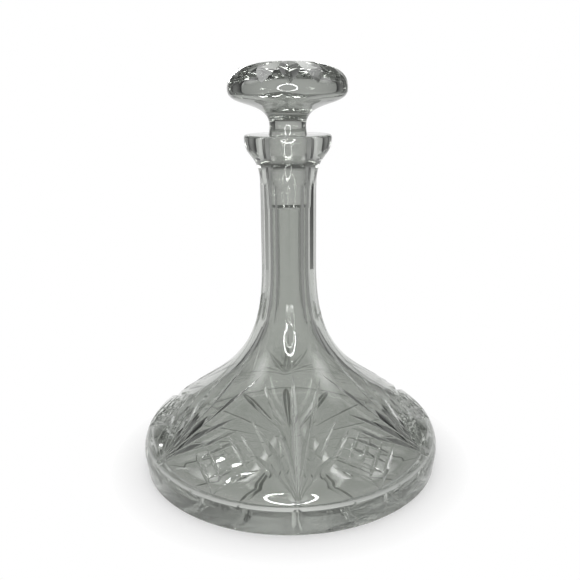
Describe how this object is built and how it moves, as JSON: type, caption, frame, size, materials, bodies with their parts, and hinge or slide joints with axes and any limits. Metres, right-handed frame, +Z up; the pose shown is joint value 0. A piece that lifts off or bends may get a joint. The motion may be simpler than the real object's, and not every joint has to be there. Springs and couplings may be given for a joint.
{
  "type": "ships decanter",
  "caption": "Broad-based cut-glass decanter with a tall panelled neck, fan-cut shoulders, hatched diamonds, a star-cut underside and a lift-out stopper with a notched mushroom head.",
  "frame": {"origin": "centre of the underside, on the surface that the decanter stands on", "axes": "+Z up along the decanter's axis, with the front fan of the cutting facing -Y"},
  "size_m": [0.1866, 0.1866, 0.2442],
  "materials": {
    "decanter_glass": "clear polished cut glass with a faint grey-green tint",
    "stopper_glass": "clear polished cut glass with a faint grey-green tint"
  },
  "bodies": {
    "decanter": {"decanter": "decanter_glass"},
    "stopper": {"stopper": "stopper_glass"}
  },
  "joints": [
    {"name": "stopper_lift", "type": "slide", "parent": "decanter", "child": "stopper", "axis": [0, 0, 1], "range_m": [0, 0.06]}
  ]
}
